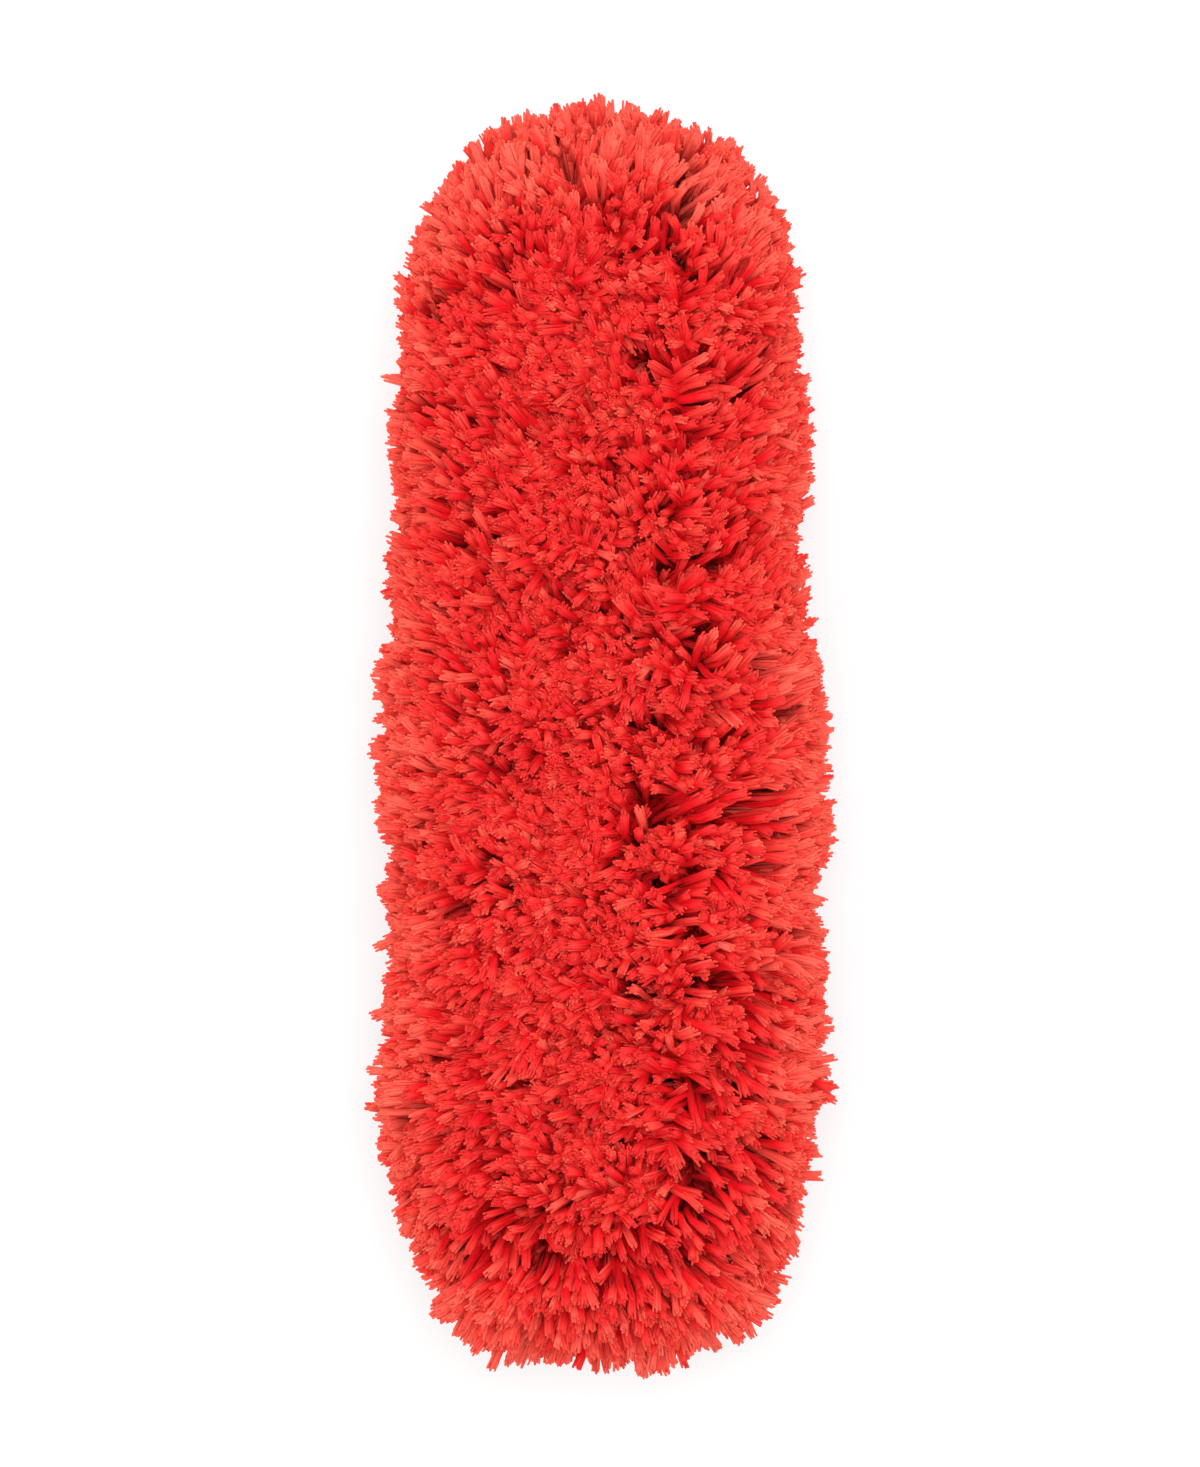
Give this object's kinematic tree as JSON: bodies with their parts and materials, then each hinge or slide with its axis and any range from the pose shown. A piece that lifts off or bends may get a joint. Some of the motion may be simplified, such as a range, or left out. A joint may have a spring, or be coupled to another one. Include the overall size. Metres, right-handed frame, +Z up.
{
  "type": "soft duster head sleeve",
  "caption": "Soft fringed duster head: a flat pocket sleeve that slips over a handle's paddle, covered all over in rows of red microfibre yarn pile.",
  "frame": {"origin": "middle of the resting face, on the surface the sleeve lies on", "axes": "+Y along the sleeve from the pocket's mouth to the closed end, +X across it, +Z up out of the face seen in the picture"},
  "size_m": [0.106, 0.305, 0.062],
  "materials": {
    "pile_yarn": "soft, fluffy",
    "backing_cloth": "woven, matt",
    "hem_cloth": "woven, matt",
    "binding_tape": "ribbed, matt",
    "header_tape": "woven, matt",
    "sewing_thread": "twisted thread",
    "elastic_band": "braided elastic"
  },
  "bodies": {
    "root": {"edge_binding": "binding_tape", "edge_stitch_top": "sewing_thread", "edge_stitch_under": "sewing_thread", "hem_stitch_top": "sewing_thread", "hem_stitch_under": "sewing_thread", "mouth_elastic_top": "elastic_band", "mouth_elastic_under": "elastic_band", "mouth_hem_top": "hem_cloth", "mouth_hem_under": "hem_cloth", "pile_rim": "pile_yarn", "pile_top_centre": "pile_yarn", "pile_top_inner": "pile_yarn", "pile_top_mouth": "pile_yarn", "pile_top_outer": "pile_yarn", "pile_under_centre": "pile_yarn", "pile_under_inner": "pile_yarn", "pile_under_mouth": "pile_yarn", "pile_under_outer": "pile_yarn", "pocket_panel_top": "backing_cloth", "pocket_panel_under": "backing_cloth", "stitch_rim": "sewing_thread", "stitch_top_centre": "sewing_thread", "stitch_top_inner": "sewing_thread", "stitch_top_mouth": "sewing_thread", "stitch_top_outer": "sewing_thread", "stitch_under_centre": "sewing_thread", "stitch_under_inner": "sewing_thread", "stitch_under_mouth": "sewing_thread", "stitch_under_outer": "sewing_thread", "tape_rim": "header_tape", "tape_top_centre": "header_tape", "tape_top_inner": "header_tape", "tape_top_mouth": "header_tape", "tape_top_outer": "header_tape", "tape_under_centre": "header_tape", "tape_under_inner": "header_tape", "tape_under_mouth": "header_tape", "tape_under_outer": "header_tape"}
  },
  "joints": []
}
